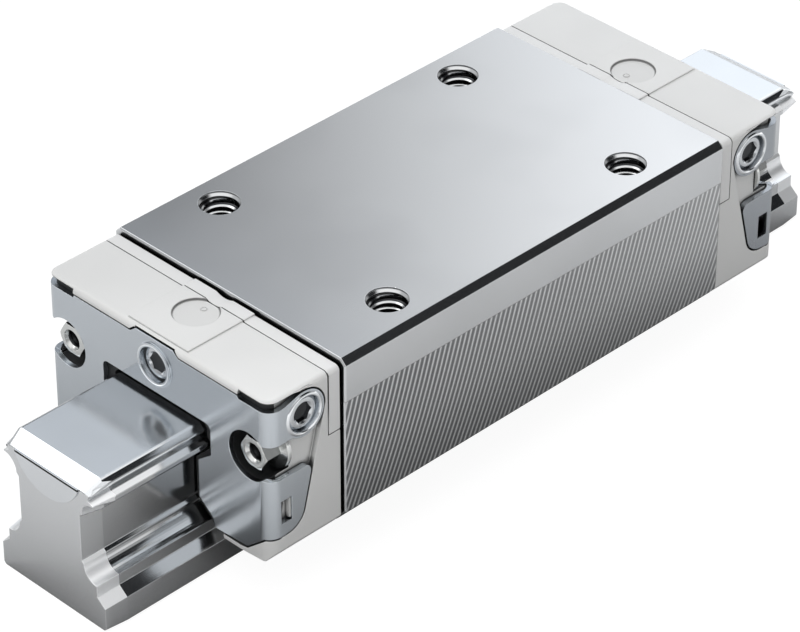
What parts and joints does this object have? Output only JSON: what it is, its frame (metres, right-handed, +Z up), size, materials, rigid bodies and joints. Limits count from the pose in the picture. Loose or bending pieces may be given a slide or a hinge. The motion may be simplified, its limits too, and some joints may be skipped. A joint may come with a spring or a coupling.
{
  "type": "ball runner block",
  "caption": "Slim long ball runner block with steel body, plastic end caps and scraper plates, sliding on a section of profiled guide rail.",
  "frame": {"origin": "on the rail's base, in the middle of the rail's width and of rail and block's length", "axes": "+X along the travel towards the rear end, +Z up from the rail's base through the block's top face, +Y to the left seen from the front"},
  "size_m": [0.1496, 0.048, 0.036],
  "materials": {
    "block_steel": "ground, satin",
    "rail_steel": "ground, bright",
    "strip_steel": "bright rolled spring steel",
    "plate_steel": "bright rolled stainless sheet",
    "screw_steel": "bright plated",
    "hard_steel": "ground, hardened",
    "ball_steel": "polished",
    "cap_plastic": "fine moulded satin",
    "guide_plastic": "moulded",
    "black_rubber": "matte"
  },
  "bodies": {
    "rail": {"guide_rail": "rail_steel", "cover_strip": "strip_steel"},
    "block": {"steel_body": "block_steel", "track_insert_upper_left": "hard_steel", "ball_guide_upper_left": "guide_plastic", "return_tube_upper_left": "guide_plastic", "ball_row_upper_left": "ball_steel", "track_insert_lower_left": "hard_steel", "ball_guide_lower_left": "guide_plastic", "return_tube_lower_left": "guide_plastic", "ball_row_lower_left": "ball_steel", "side_seal_left": "black_rubber", "track_insert_upper_right": "hard_steel", "ball_guide_upper_right": "guide_plastic", "return_tube_upper_right": "guide_plastic", "ball_row_upper_right": "ball_steel", "track_insert_lower_right": "hard_steel", "ball_guide_lower_right": "guide_plastic", "return_tube_lower_right": "guide_plastic", "ball_row_lower_right": "ball_steel", "side_seal_right": "black_rubber", "front_base_plate": "cap_plastic", "front_end_cap": "cap_plastic", "front_ball_deflectors": "guide_plastic", "front_scraper_plate": "plate_steel", "front_end_seal": "black_rubber", "front_flange_screws": "screw_steel", "front_centre_port_screw": "screw_steel", "front_side_port_screws": "screw_steel", "rear_base_plate": "cap_plastic", "rear_end_cap": "cap_plastic", "rear_ball_deflectors": "guide_plastic", "rear_scraper_plate": "plate_steel", "rear_end_seal": "black_rubber", "rear_flange_screws": "screw_steel", "rear_centre_port_screw": "screw_steel", "rear_side_port_screws": "screw_steel"}
  },
  "joints": [
    {"name": "block_slide", "type": "slide", "parent": "rail", "child": "block", "axis": [1, 0, 0], "range_m": [-0.02, 0.02]}
  ]
}
